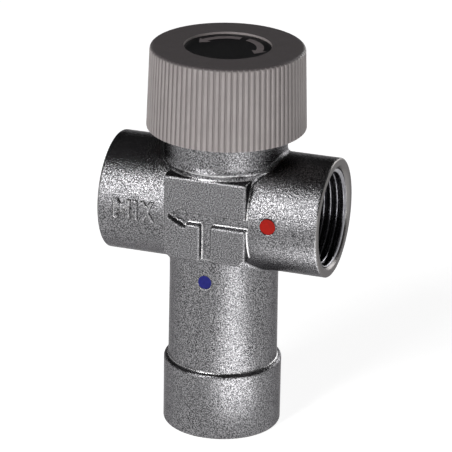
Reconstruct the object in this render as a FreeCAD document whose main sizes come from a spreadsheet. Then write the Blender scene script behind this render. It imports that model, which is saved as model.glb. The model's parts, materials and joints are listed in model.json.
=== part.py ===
import FreeCAD, Part
import Sketcher

import math
import os
import re

# Mixing valve with three female ports: hot water enters on the right, cold water from below, and mixed
# water leaves on the left. A wax element in the mixed flow moves a spool that opens one inlet as it
# closes the other. The knob on top raises and lowers the element's support, which sets the temperature.
# The valve stands on the face of its cold inlet, with the origin at that face's centre.

V = FreeCAD.Vector

# Driving sizes in millimetres, angles in degrees. Heights called rise are above the axis of the side
# ports and heights called drop are below it.
SIZES = {
    # body, outside
    "axis_height": 62.5,
    "port_radius": 16.0,
    "port_reach": 30.5,
    "port_edge": 0.4,
    "collar_radius": 16.0,
    "collar_height": 18.8,
    "collar_shoulder": 0.95,
    "collar_edge": 0.5,
    "neck_radius": 14.66,
    "neck_draft": 0.15,
    "shoulder_radius": 16.4,
    "barrel_rise": 27.0,
    "rim_rise": 13.5,
    "rim_height": 1.5,
    "rim_reach": 0.5,
    "junction_fillet": 1.2,
    # body, the pad that carries the flow arrow
    "pad_half_width": 11.3,
    "pad_reach": 16.8,
    "pad_rise": 12.1,
    "pad_drop": 10.8,
    "pad_corner": 1.5,
    "pad_edge": 0.45,
    "arrow_depth": 1.9,
    "arrow_tip": 10.8,
    "arrow_tip_rise": 0.9,
    "arrow_head_back": 5.6,
    "arrow_head_half": 2.85,
    "arrow_shaft_back": 5.1,
    "arrow_shaft_half": 1.5,
    "arrow_shaft_rise": 0.76,
    "arrow_branch_left": 1.3,
    "arrow_branch_right": 1.6,
    "arrow_overrun": 0.5,
    # body, coloured marks
    "mark_clearance": 0.04,
    "mark_sink": 0.12,
    "hot_mark_radius": 2.1,
    "hot_mark_side": 17.1,
    "hot_mark_rise": 1.25,
    "hot_mark_depth": 0.65,
    "cold_mark_radius": 1.85,
    "cold_mark_side": -0.4,
    "cold_mark_drop": 17.5,
    "cold_mark_depth": 0.5,
    # pipe threads, bored to their outer diameter
    "thread_radius": 13.22,
    "thread_depth": 14.0,
    "mouth_chamfer": 0.8,
    "window_half_width": 7.5,
    "window_gap": 2.2,
    "window_end": 10.2,
    # body, inside
    "land_half_height": 1.5,
    "hot_chamber_drop": 11.0,
    "lower_land_drop": 14.5,
    "chamber_depth": 1.0,
    "cold_way_radius": 11.6,
    "cage_seat_rise": 12.0,
    "seal_bore_rise": 18.2,
    "bonnet_thread_radius": 13.6,
    "bonnet_seal_radius": 12.8,
    # running fits and small gaps
    "running_clearance": 0.05,
    "guide_clearance": 0.1,
    "screw_clearance": 0.08,
    "seat_gap": 0.04,
    "seal_gap": 0.03,
    # spool, element and cage
    "spool_radius": 8.75,
    "spool_wall": 0.95,
    "spool_rise": 1.0,
    "spool_drop": 23.5,
    "spool_upper_land": 7.5,
    "spool_lower_land": 18.5,
    "spool_slot_width": 6.0,
    "spool_ledge_drop": 21.5,
    "spool_ledge_height": 1.0,
    "spool_ledge_radius": 5.6,
    "spider_height": 2.0,
    "spider_ring": 1.3,
    "spider_spoke": 1.6,
    "bulb_radius": 4.0,
    "bulb_drop": 9.5,
    "bulb_round": 1.5,
    "bulb_flange_height": 1.4,
    "guide_radius": 2.6,
    "guide_rise": 9.0,
    "piston_radius": 1.6,
    "piston_foot_rise": 3.5,
    "cage_wall": 1.4,
    "upper_land_step": 0.95,
    "lower_land_step": 0.55,
    "cage_drop": 33.0,
    "cage_flange_height": 1.6,
    "cage_head_wall": 1.3,
    "cage_head_drop": 1.1,
    "cage_window_width": 6.0,
    "mix_window_low": 3.0,
    "mix_window_high": 10.0,
    "hot_window_high": 5.5,
    "cold_window_high": 16.5,
    "window_height": 4.0,
    "windows": 6,
    "cage_ring_depth": 1.25,
    "cage_ring_width": 2.0,
    "plug_drop": 29.5,
    "plug_flange_height": 1.2,
    "plug_slot_width": 2.0,
    "plug_slot_depth": 1.5,
    "return_wire": 0.7,
    "return_coils": 4.0,
    # bonnet
    "bonnet_head_height": 3.5,
    "bonnet_flats": 30.0,
    "bonnet_boss_radius": 8.0,
    "bonnet_boss_rise": 34.0,
    "bonnet_ring_rise": 15.0,
    "bonnet_ring_width": 2.0,
    "bonnet_ring_depth": 1.35,
    "guide_top_rise": 24.6,
    "thrust_floor_rise": 27.2,
    "stop_width": 5.8,
    "stop_inner": 12.0,
    "stop_outer": 14.9,
    "stop_height": 3.5,
    "stop_gap": 0.5,
    # adjuster and overload relief
    "adjuster_flats": 17.0,
    "adjuster_drop_end": 12.4,
    "adjuster_rise": 23.2,
    "adjuster_chamber": 6.6,
    "adjuster_web": 4.0,
    "stem_radius": 4.0,
    "stem_foot_rise": 18.9,
    "relief_ring_depth": 0.7,
    "relief_ring_height": 0.9,
    "relief_ring_lip": 0.25,
    "relief_ring_width": 1.8,
    "cup_height": 1.2,
    "cup_boss_radius": 3.6,
    "cup_boss_height": 0.6,
    "cup_recess": 0.5,
    "relief_wire": 0.5,
    "relief_coils": 3.0,
    # spindle
    "collar_disc_radius": 7.0,
    "collar_disc_height": 1.5,
    "washer_height": 0.75,
    "washer_wall": 2.2,
    "shaft_radius": 4.5,
    "shaft_ring_depth": 1.3,
    "shaft_ring_width": 1.9,
    "shaft_ring_low": 28.3,
    "shaft_ring_high": 31.2,
    "clip_height": 0.9,
    "clip_depth": 0.6,
    "clip_width": 2.4,
    "clip_opening": 60.0,
    "drive_flats": 8.6,
    "drive_rise": 38.9,
    "drive_foot_rise": 35.4,
    "tap_radius": 2.0,
    "tap_depth": 7.0,
    # knob
    "knob_foot_rise": 21.9,
    "knob_height": 22.17,
    "knob_foot_radius": 21.25,
    "knob_top_radius": 20.5,
    "knob_wall": 2.1,
    "knob_top_edge": 1.1,
    "knob_edge": 0.3,
    "knob_roof": 3.5,
    "rib_count": 85,
    "rib_groove_width": 0.62,
    "rib_groove_depth": 0.42,
    "rib_shoulder": 0.14,
    "recess_radius": 11.6,
    "recess_depth": 1.5,
    "hub_radius": 7.5,
    "hub_foot_rise": 35.6,
    "web_width": 1.2,
    "web_height": 2.6,
    "webs": 6,
    "screw_seat": 0.8,
    "screw_head_radius": 3.8,
    "screw_head_height": 2.2,
    "screw_slot_width": 0.9,
    "screw_slot_depth": 1.0,
    "dial_height": 0.9,
    "dial_clearance": 0.1,
}

# Places and fits that follow from the driving sizes. Each is a formula in them or in one another.
FORMULAS = {
    "collar_top": "collar_height",
    "neck_draft_top": "axis_height - port_radius - neck_radius / 3",
    "neck_top": "axis_height - neck_radius / 3",
    "barrel_top": "axis_height + barrel_rise",
    "pad_top": "axis_height + pad_rise",
    "pad_bottom": "axis_height - pad_drop",
    "cage_bore": "spool_radius + running_clearance",
    "cage_radius": "cage_bore + cage_wall",
    "upper_land": "cage_radius + upper_land_step",
    "lower_land": "cage_radius + lower_land_step",
    "body_upper_land": "upper_land + running_clearance",
    "body_lower_land": "lower_land + running_clearance",
    "chamber_radius": "body_upper_land + chamber_depth",
    "land_top": "axis_height + land_half_height",
    "land_bottom": "axis_height - land_half_height",
    "hot_bottom": "axis_height - hot_chamber_drop",
    "cold_top": "axis_height - lower_land_drop",
    "cage_seat": "axis_height + cage_seat_rise",
    "cage_top": "cage_seat + cage_flange_height",
    "cage_foot": "axis_height - cage_drop",
    "cage_head": "adjuster_corner + adjuster_side_gap",
    "cage_head_floor": "cage_seat - cage_head_drop + seat_gap",
    "adjuster_side_gap": "guide_clearance * 3",
    "adjuster_corner": "adjuster_flats / 2 / cos(30 deg)",
    "seal_top": "axis_height + seal_bore_rise",
    "bonnet_foot": "cage_top + seat_gap",
    "bonnet_head_foot": "barrel_top + seat_gap",
    "bonnet_head_top": "bonnet_head_foot + bonnet_head_height",
    "bonnet_boss_top": "axis_height + bonnet_boss_rise",
    "bonnet_skirt": "bonnet_seal_radius - running_clearance",
    "bonnet_thread": "bonnet_thread_radius - running_clearance",
    "bonnet_ring_floor": "bonnet_skirt - bonnet_ring_depth",
    "bonnet_ring_foot": "axis_height + bonnet_ring_rise",
    "guide_flats": "adjuster_flats + 2 * guide_clearance",
    "guide_top": "axis_height + guide_top_rise",
    "thrust_floor": "axis_height + thrust_floor_rise",
    "washer_top": "thrust_floor - seat_gap",
    "washer_foot": "washer_top - washer_height",
    "collar_disc_top": "washer_foot - seat_gap",
    "collar_disc_foot": "collar_disc_top - collar_disc_height",
    "gland_radius": "shaft_radius + running_clearance",
    "stem_foot": "axis_height + stem_foot_rise",
    "shaft_ring_floor": "shaft_radius - shaft_ring_depth",
    "clip_foot": "bonnet_boss_top + seat_gap",
    "clip_top": "clip_foot + clip_height",
    "clip_floor": "shaft_radius - clip_depth",
    "drive_foot": "axis_height + drive_foot_rise",
    "drive_top": "axis_height + drive_rise",
    "adjuster_foot": "axis_height + adjuster_drop_end",
    "adjuster_top": "axis_height + adjuster_rise",
    "adjuster_web_foot": "adjuster_top - adjuster_web",
    "relief_ring_foot": "adjuster_foot + relief_ring_lip + seat_gap",
    "relief_ring_top": "relief_ring_foot + relief_ring_height",
    "relief_ring_radius": "adjuster_chamber + relief_ring_depth",
    "cup_foot": "relief_ring_top + seat_gap",
    "cup_top": "cup_foot + cup_height",
    "cup_radius": "adjuster_chamber - guide_clearance",
    "piston_top": "cup_foot + cup_recess - seat_gap",
    "spool_top": "axis_height + spool_rise",
    "spool_foot": "axis_height - spool_drop",
    "spool_inner": "spool_radius - spool_wall",
    "spool_slot_top": "axis_height - spool_upper_land",
    "spool_slot_foot": "axis_height - spool_lower_land",
    "ledge_foot": "axis_height - spool_ledge_drop",
    "ledge_top": "ledge_foot + spool_ledge_height",
    "spider_foot": "spool_top - spider_height",
    "spider_bore": "bulb_radius + guide_clearance",
    "spider_radius": "spider_bore + spider_ring",
    "bulb_foot": "axis_height - bulb_drop",
    "bulb_flange_top": "spool_top + seat_gap + bulb_flange_height",
    "guide_end": "axis_height + guide_rise",
    "plug_top": "axis_height - plug_drop",
    "plug_flange_top": "cage_foot - seat_gap",
    "knob_foot": "axis_height + knob_foot_rise",
    "knob_top": "knob_foot + knob_height",
    "roof_foot": "knob_top - knob_roof",
    "recess_floor": "knob_top - recess_depth",
    "hub_foot": "axis_height + hub_foot_rise",
    "socket_top": "drive_top + 2 * seat_gap",
    "screw_seat_top": "socket_top + screw_seat",
    "dial_foot": "recess_floor + seat_gap",
    "thread_floor": "port_reach - thread_depth",
    "arrow_line": "axis_height + arrow_shaft_rise",
    "arrow_tip_height": "axis_height + arrow_tip_rise",
    "hot_mark_floor": "port_radius - hot_mark_depth",
    "cold_mark_floor": "neck_radius - cold_mark_depth",
    "lower_ring": "axis_height - (hot_chamber_drop + lower_land_drop) / 2",
    "cavity_top_radius": "knob_top_radius - knob_wall",
}

doc = FreeCAD.newDocument("MixingValve")
sheet = doc.addObject("Spreadsheet::Sheet", "Sizes")
for row, (alias, number) in enumerate(SIZES.items(), start=1):
    sheet.set(f"A{row}", alias)
    sheet.set(f"B{row}", str(number))
    sheet.setAlias(f"B{row}", alias)
doc.recompute()


def formula(text):
    """Turn the words of a formula into cells of the sheet."""

    def cell(match):
        word = match.group(0)
        if word in SIZES:
            return f"Sizes.{word}"
        if word in FORMULAS:
            return f"({formula(FORMULAS[word])})"
        return word

    return re.sub(r"[a-z_]+", cell, text)


def value(text):
    return float(sheet.evalExpression(formula(text)))


def bind(thing, prop, text):
    thing.setExpression(prop, formula(text))


# Sketches

def new_body(label):
    body = doc.addObject("PartDesign::Body", label)
    body.Label = label
    return body


def new_sketch(body, name, role, lift=None):
    """A sketch on one of the body's own planes, lifted along that plane's normal."""
    sketch = body.newObject("Sketcher::SketchObject", name)
    plane = next(p for p in body.Origin.OriginFeatures if p.Role == role)
    sketch.AttachmentSupport = [(plane, "")]
    sketch.MapMode = "FlatFace"
    if lift:
        bind(sketch, "AttachmentOffset.Base.z", lift)
    return sketch


def hold(sketch, kind, *where, to):
    """Add one dimension to a sketch and tie it to a formula."""
    index = sketch.addConstraint(Sketcher.Constraint(kind, *where, value(to)))
    sketch.setExpression(f"Constraints[{index}]", formula(to))


def draw_outline(sketch, points):
    """A closed outline of straight lines through points given as pairs of formulas."""
    first = sketch.GeometryCount
    count = len(points)
    spots = [V(value(x), value(y), 0) for x, y in points]
    for i in range(count):
        sketch.addGeometry(Part.LineSegment(spots[i], spots[(i + 1) % count]), False)
    for i in range(count):
        sketch.addConstraint(Sketcher.Constraint("Coincident", first + i, 2, first + (i + 1) % count, 1))
    for i, (x, y) in enumerate(points):
        hold(sketch, "DistanceX", first + i, 1, to=x)
        hold(sketch, "DistanceY", first + i, 1, to=y)


def draw_circle(sketch, radius, x="0", y="0"):
    index = sketch.addGeometry(Part.Circle(V(value(x), value(y), 0), V(0, 0, 1), value(radius)), False)
    hold(sketch, "Radius", index, to=radius)
    hold(sketch, "DistanceX", index, 3, to=x)
    hold(sketch, "DistanceY", index, 3, to=y)


def rectangle(left, right, low, high):
    return [(left, low), (right, low), (right, high), (left, high)]


def hexagon(flats):
    """Corners of a hexagon that measures this much across its flats."""
    corners = []
    for turn in range(0, 360, 60):
        x = f"({flats}) / 2 / cos(30 deg) * cos({turn} deg)"
        y = f"({flats}) / 2 / cos(30 deg) * sin({turn} deg)"
        corners.append((x, y))
    return corners


# Features

def finish_step(body, feature):
    doc.recompute()
    bad = {"Invalid", "Error"} & set(feature.State)
    if bad or feature.Shape.isNull() or not feature.Shape.isValid():
        raise RuntimeError(f"{body.Label}: {feature.Name} failed")
    return feature


def turned(body, name, points, angle=None):
    """Solid turned about the valve's axis from a half section of radius and height."""
    sketch = new_sketch(body, name + "_section", "XZ_Plane")
    draw_outline(sketch, points)
    feature = body.newObject("PartDesign::Revolution", name)
    feature.Profile = sketch
    feature.ReferenceAxis = (sketch, ["V_Axis"])
    feature.Angle = 360
    if angle:
        bind(feature, "Angle", angle)
    return finish_step(body, feature)


def bored(body, name, points):
    """Cut turned about the valve's axis from a half section of radius and height."""
    before = body.Tip.Shape.Volume
    sketch = new_sketch(body, name + "_section", "XZ_Plane")
    draw_outline(sketch, points)
    feature = body.newObject("PartDesign::Groove", name)
    feature.Profile = sketch
    feature.ReferenceAxis = (sketch, ["V_Axis"])
    feature.Angle = 360
    finish_step(body, feature)
    if feature.Shape.Volume >= before:
        raise RuntimeError(f"{body.Label}: {name} cut nothing")
    return feature


def padded(body, name, sketch, length, both_ways=False, backwards=False):
    feature = body.newObject("PartDesign::Pad", name)
    feature.Profile = sketch
    bind(feature, "Length", length)
    feature.Midplane = both_ways
    feature.Reversed = backwards
    return finish_step(body, feature)


def pocketed(body, name, sketch, depth, both_ways=False, forwards=False):
    """Cut a sketch into the body, against the sketch's normal, or along it if forwards."""
    before = body.Tip.Shape.Volume
    feature = body.newObject("PartDesign::Pocket", name)
    feature.Profile = sketch
    bind(feature, "Length", depth)
    feature.Midplane = both_ways
    feature.Reversed = forwards
    finish_step(body, feature)
    if feature.Shape.Volume >= before:
        raise RuntimeError(f"{body.Label}: {name} cut nothing")
    return feature


def repeated(body, name, feature, count):
    """Repeat a feature all round the valve's axis."""
    before = feature.Shape.Volume
    pattern = body.newObject("PartDesign::PolarPattern", name)
    pattern.Originals = [feature]
    axis = next(a for a in body.Origin.OriginFeatures if a.Role == "Z_Axis")
    pattern.Axis = (axis, [""])
    pattern.Angle = 360
    bind(pattern, "Occurrences", count)
    body.Tip = pattern
    finish_step(body, pattern)
    if abs(pattern.Shape.Volume - before) < 1e-6:
        raise RuntimeError(f"{body.Label}: {name} repeated nothing")
    return pattern


def edges_where(feature, test):
    """Names of the feature's edges that pass a test, without those that have shrunk to a point."""
    numbered = enumerate(feature.Shape.Edges, start=1)
    return [f"Edge{i}" for i, edge in numbered if not edge.Degenerated and test(edge)]


def on_rim(radius, height):
    """Test for a round edge about the valve's axis."""
    r = value(radius)
    z = value(height)

    def test(edge):
        curve = edge.Curve
        if not isinstance(curve, Part.Circle) or abs(curve.Radius - r) > 1e-3:
            return False
        off_axis = math.hypot(curve.Center.x, curve.Center.y)
        return abs(curve.Center.z - z) < 1e-3 and off_axis < 1e-3

    return test


def on_port_rim(radius, reach):
    """Test for a round edge about the axis of the side ports."""
    r = value(radius)
    x = value(reach)

    def test(edge):
        curve = edge.Curve
        round_edge = isinstance(curve, Part.Circle) and abs(curve.Radius - r) < 1e-3
        return round_edge and abs(abs(curve.Center.x) - x) < 1e-3 and abs(curve.Axis.x) > 0.99

    return test


def rounded(body, name, radius, *tests):
    base = body.Tip
    feature = body.newObject("PartDesign::Fillet", name)
    feature.Base = (base, edges_where(base, lambda edge: any(test(edge) for test in tests)))
    bind(feature, "Radius", radius)
    return finish_step(body, feature)


def bevelled(body, name, size, *tests):
    base = body.Tip
    feature = body.newObject("PartDesign::Chamfer", name)
    feature.Base = (base, edges_where(base, lambda edge: any(test(edge) for test in tests)))
    bind(feature, "Size", size)
    return finish_step(body, feature)


def washer(label, inner, outer, low, high, angle=None):
    body = new_body(label)
    turned(body, label + "_ring", rectangle(inner, outer, low, high), angle)
    return body


def o_ring(label, inner, outer, middle):
    """Rubber ring that fills the depth of its groove."""
    ring = doc.addObject("Part::Torus", label)
    ring.Label = label
    bind(ring, "Radius1", f"(({inner}) + ({outer})) / 2")
    bind(ring, "Radius2", f"(({outer}) - ({inner})) / 2 - seal_gap")
    bind(ring, "Placement.Base.z", middle)
    return ring


def coil_spring(label, radius, wire, low, high, coils):
    """Round wire swept along a helix between two seats."""
    helix = doc.addObject("Part::Helix", label + "_line")
    bind(helix, "Radius", radius)
    bind(helix, "Pitch", f"(({high}) - ({low}) - 2 * ({wire})) / ({coils})")
    bind(helix, "Height", f"({high}) - ({low}) - 2 * ({wire})")
    wire_end = doc.addObject("Part::Circle", label + "_wire")
    bind(wire_end, "Radius", wire)
    wire_end.Placement.Rotation = FreeCAD.Rotation(V(1, 0, 0), 90)
    bind(wire_end, "Placement.Base.x", radius)
    spring = doc.addObject("Part::Sweep", label)
    spring.Label = label
    spring.Sections = [wire_end]
    spring.Spine = (helix, ["Edge1"])
    spring.Solid = True
    spring.Frenet = True
    bind(spring, "Placement.Base.z", f"({low}) + ({wire})")
    return spring


# Valve body

def lies_on_both(edge, test_one, test_two):
    """True if points along an edge lie on two given surfaces."""
    first, last = edge.FirstParameter, edge.LastParameter
    points = [edge.valueAt(first + (last - first) * share) for share in (0.2, 0.5, 0.8)]
    return all(test_one(point) < 1e-3 and test_two(point) < 1e-3 for point in points)


def off_ports(point):
    return abs(math.hypot(point.y, point.z - value("axis_height")) - value("port_radius"))


def off_column(radius):
    return lambda point: abs(math.hypot(point.x, point.y) - value(radius))


def make_valve_body():
    body = new_body("valve_body")
    turned(body, "column", [
        ("0", "0"),
        ("collar_radius", "0"),
        ("collar_radius", "collar_top"),
        ("neck_radius + neck_draft", "collar_top"),
        ("neck_radius", "neck_draft_top"),
        ("neck_radius", "neck_top"),
        ("shoulder_radius", "axis_height"),
        ("shoulder_radius", "barrel_top"),
        ("0", "barrel_top"),
    ])
    rounded(body, "collar_top_round", "collar_shoulder", on_rim("collar_radius", "collar_top"))
    rounded(body, "collar_foot_round", "collar_edge", on_rim("collar_radius", "0"))
    cross = new_sketch(body, "ports_section", "YZ_Plane")
    draw_circle(cross, "port_radius", y="axis_height")
    padded(body, "ports", cross, "2 * port_reach", both_ways=True)
    pad = new_sketch(body, "pad_outline", "XZ_Plane")
    draw_outline(pad, [
        ("-pad_half_width + pad_corner", "pad_bottom"),
        ("pad_half_width - pad_corner", "pad_bottom"),
        ("pad_half_width", "pad_bottom + pad_corner"),
        ("pad_half_width", "pad_top"),
        ("-pad_half_width", "pad_top"),
        ("-pad_half_width", "pad_bottom + pad_corner"),
    ])
    padded(body, "pads", pad, "2 * pad_reach", both_ways=True)

    def junction(edge):
        upper = lies_on_both(edge, off_ports, off_column("shoulder_radius"))
        lower = lies_on_both(edge, off_ports, off_column("neck_radius"))
        return upper or lower

    rounded(body, "junction_rounds", "junction_fillet", junction)
    cut_arrow(body)
    rounded(body, "arrow_corner_rounds", "pad_edge", on_arrow_corner)
    rounded(body, "pad_rounds", "pad_edge", on_pad_face)
    turned(body, "barrel_rim", [
        ("shoulder_radius - rim_reach", "axis_height + rim_rise"),
        ("shoulder_radius + rim_reach", "axis_height + rim_rise"),
        ("shoulder_radius", "axis_height + rim_rise + rim_height"),
        ("shoulder_radius - rim_reach", "axis_height + rim_rise + rim_height"),
    ])
    cut_mark_seat(body, "hot_seat", "hot_mark_radius", "hot_mark_side",
                  HOT_MARK_HEIGHT, "hot_mark_floor")
    cut_mark_seat(body, "cold_seat", "cold_mark_radius", "cold_mark_side",
                  COLD_MARK_HEIGHT, "cold_mark_floor")
    bore_body(body)
    rounded(body, "port_rounds", "port_edge", on_port_rim("port_radius", "port_reach"))
    bevelled(
        body,
        "mouth_bevels",
        "mouth_chamfer",
        on_port_rim("thread_radius", "port_reach"),
        on_rim("thread_radius", "0"),
    )
    return body


def on_pad_face(edge):
    """Edges round the flat front and back of the pads."""
    first, last = edge.FirstParameter, edge.LastParameter
    points = [edge.valueAt(first + (last - first) * share) for share in (0, 0.5, 1)]
    return all(abs(abs(point.y) - value("pad_reach")) < 1e-3 for point in points)


def on_arrow_corner(edge):
    """Edges at the corners of the sunk arrow, which run straight in from the front of the pad."""
    start = edge.valueAt(edge.FirstParameter)
    end = edge.valueAt(edge.LastParameter)
    straight_in = abs(start.x - end.x) < 1e-3 and abs(start.z - end.z) < 1e-3
    in_arrow = max(start.y, end.y) < value("arrow_depth - pad_reach") + 1e-3
    return straight_in and in_arrow and abs(start.x) < value("pad_half_width") - 1e-3


def cut_arrow(body):
    """The sunk flow arrow: hot water from the right joins cold from below and leaves to the left."""
    outline = new_sketch(body, "arrow_outline", "XZ_Plane", "pad_reach")
    shaft_low = "arrow_line - arrow_shaft_half"
    shaft_high = "arrow_line + arrow_shaft_half"
    right_end = "pad_half_width + arrow_overrun"
    draw_outline(outline, [
        ("-arrow_tip", "arrow_tip_height"),
        ("-arrow_head_back", "arrow_tip_height + arrow_head_half"),
        ("-arrow_shaft_back", shaft_high),
        (right_end, shaft_high),
        (right_end, shaft_low),
        ("arrow_branch_right", shaft_low),
        ("arrow_branch_right", "pad_bottom - arrow_overrun"),
        ("-arrow_branch_left", "pad_bottom - arrow_overrun"),
        ("-arrow_branch_left", shaft_low),
        ("-arrow_shaft_back", shaft_low),
        ("-arrow_head_back", "arrow_tip_height - arrow_head_half"),
    ])
    pocketed(body, "arrow", outline, "arrow_depth")


def cut_mark_seat(body, name, radius, side, height, floor):
    """A shallow drilled seat for a dot of enamel."""
    circle = new_sketch(body, name + "_circle", "XZ_Plane", floor)
    draw_circle(circle, f"{radius} + mark_clearance", side, height)
    pocketed(body, name, circle, "port_radius - thread_radius", forwards=True)


def bore_body(body):
    """The turned bores about the valve's axis, then the two side ports and the windows at their ends."""
    bored(body, "bores", [
        ("0", "0"),
        ("thread_radius", "0"),
        ("thread_radius", "thread_depth"),
        ("cold_way_radius", "thread_depth + thread_radius - cold_way_radius"),
        ("cold_way_radius", "cold_top"),
        ("body_lower_land", "cold_top"),
        ("body_lower_land", "hot_bottom"),
        ("chamber_radius", "hot_bottom"),
        ("chamber_radius", "land_bottom"),
        ("body_upper_land", "land_bottom"),
        ("body_upper_land", "land_top"),
        ("chamber_radius", "land_top"),
        ("chamber_radius", "cage_seat"),
        ("bonnet_seal_radius", "cage_seat"),
        ("bonnet_seal_radius", "seal_top"),
        ("bonnet_thread_radius", "seal_top"),
        ("bonnet_thread_radius", "barrel_top"),
        ("0", "barrel_top"),
    ])
    for name, reach, inwards_is_up in (("hot", "port_reach", False), ("mix", "-port_reach", True)):
        mouth = new_sketch(body, name + "_port_circle", "YZ_Plane", reach)
        draw_circle(mouth, "thread_radius", y="axis_height")
        pocketed(body, name + "_port", mouth, "thread_depth", forwards=inwards_is_up)
    windows = (
        ("hot", "thread_floor", "axis_height - window_end", "axis_height - window_gap", False),
        ("mix", "-thread_floor", "axis_height + window_gap", "axis_height + window_end", True),
    )
    for name, reach, low, high, inwards_is_up in windows:
        opening = new_sketch(body, name + "_window_outline", "YZ_Plane", reach)
        draw_outline(opening, rectangle("-window_half_width", "window_half_width", low, high))
        pocketed(body, name + "_window", opening, "thread_floor", forwards=inwards_is_up)


# Bonnet, which closes the neck and carries the spindle

def make_bonnet():
    body = new_body("bonnet")
    turned(body, "bonnet_form", [
        ("0", "bonnet_foot"),
        ("bonnet_skirt", "bonnet_foot"),
        ("bonnet_skirt", "bonnet_ring_foot"),
        ("bonnet_ring_floor", "bonnet_ring_foot"),
        ("bonnet_ring_floor", "bonnet_ring_foot + bonnet_ring_width"),
        ("bonnet_skirt", "bonnet_ring_foot + bonnet_ring_width"),
        ("bonnet_skirt", "seal_top + seat_gap"),
        ("bonnet_thread", "seal_top + seat_gap"),
        ("bonnet_thread", "bonnet_head_foot"),
        ("bonnet_thread", "bonnet_head_top"),
        ("bonnet_boss_radius", "bonnet_head_top"),
        ("bonnet_boss_radius", "bonnet_boss_top"),
        ("0", "bonnet_boss_top"),
    ])
    head = new_sketch(body, "bonnet_head_flats", "XY_Plane", "bonnet_head_foot")
    draw_outline(head, hexagon("bonnet_flats"))
    padded(body, "bonnet_head", head, "bonnet_head_height")
    lug = new_sketch(body, "bonnet_stop_outline", "XY_Plane", "bonnet_head_top")
    draw_outline(lug, rectangle("-stop_width / 2", "stop_width / 2", "stop_inner", "stop_outer"))
    padded(body, "bonnet_stop", lug, "stop_height")
    bored(body, "bonnet_bores", [
        ("0", "guide_top"),
        ("collar_disc_radius + screw_clearance", "guide_top"),
        ("collar_disc_radius + screw_clearance", "thrust_floor"),
        ("gland_radius", "thrust_floor"),
        ("gland_radius", "bonnet_boss_top"),
        ("0", "bonnet_boss_top"),
    ])
    guide = new_sketch(body, "bonnet_guide_flats", "XY_Plane", "bonnet_foot")
    draw_outline(guide, hexagon("guide_flats"))
    pocketed(body, "bonnet_guide", guide, "guide_top - bonnet_foot", forwards=True)
    return body


# Cage, the fixed sleeve that the spool slides in

def make_cage():
    body = new_body("cage")
    ring_floor_upper = "upper_land - cage_ring_depth"
    ring_floor_lower = "lower_land - cage_ring_depth"
    turned(body, "cage_form", [
        ("cage_bore", "cage_foot"),
        ("cage_radius", "cage_foot"),
        ("cage_radius", "cold_top"),
        ("lower_land", "cold_top"),
        ("lower_land", "lower_ring - cage_ring_width / 2"),
        (ring_floor_lower, "lower_ring - cage_ring_width / 2"),
        (ring_floor_lower, "lower_ring + cage_ring_width / 2"),
        ("lower_land", "lower_ring + cage_ring_width / 2"),
        ("lower_land", "hot_bottom"),
        ("cage_radius", "hot_bottom"),
        ("cage_radius", "land_bottom"),
        ("upper_land", "land_bottom"),
        ("upper_land", "axis_height - cage_ring_width / 2"),
        (ring_floor_upper, "axis_height - cage_ring_width / 2"),
        (ring_floor_upper, "axis_height + cage_ring_width / 2"),
        ("upper_land", "axis_height + cage_ring_width / 2"),
        ("upper_land", "land_top"),
        ("cage_radius", "land_top"),
        ("cage_radius", "cage_head_floor - cage_wall"),
        ("cage_head + cage_head_wall", "cage_head_floor - cage_wall"),
        ("cage_head + cage_head_wall", "cage_seat + seat_gap"),
        ("bonnet_skirt", "cage_seat + seat_gap"),
        ("bonnet_skirt", "cage_top"),
        ("cage_head", "cage_top"),
        ("cage_head", "cage_head_floor"),
        ("cage_bore", "cage_head_floor"),
    ])
    openings = (
        ("mix", "axis_height + mix_window_low", "axis_height + mix_window_high"),
        ("hot", "axis_height - hot_window_high - window_height", "axis_height - hot_window_high"),
        ("cold", "axis_height - cold_window_high - window_height", "axis_height - cold_window_high"),
    )
    for name, low, high in openings:
        outline = new_sketch(body, name + "_opening_outline", "XZ_Plane")
        draw_outline(outline, rectangle("-cage_window_width / 2", "cage_window_width / 2", low, high))
        opening = pocketed(body, name + "_opening", outline, "chamber_radius")
        repeated(body, name + "_openings", opening, "windows")
    return body


def make_cage_plug():
    """Plug that closes the cage from below and carries the return spring."""
    body = new_body("cage_plug")
    turned(body, "plug_form", [
        ("0", "plug_flange_top - plug_flange_height"),
        ("cage_radius", "plug_flange_top - plug_flange_height"),
        ("cage_radius", "plug_flange_top"),
        ("spool_radius", "plug_flange_top"),
        ("spool_radius", "plug_top"),
        ("0", "plug_top"),
    ])
    slot = new_sketch(body, "plug_slot_outline", "XY_Plane", "plug_flange_top - plug_flange_height")
    reach = "(cage_radius + plug_slot_width)"
    half = "plug_slot_width / 2"
    draw_outline(slot, rectangle("-" + reach, reach, "-" + half, half))
    pocketed(body, "plug_slot", slot, "plug_slot_depth", forwards=True)
    return body


# Spool, a hollow piston with two lands and a slotted waist

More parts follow.
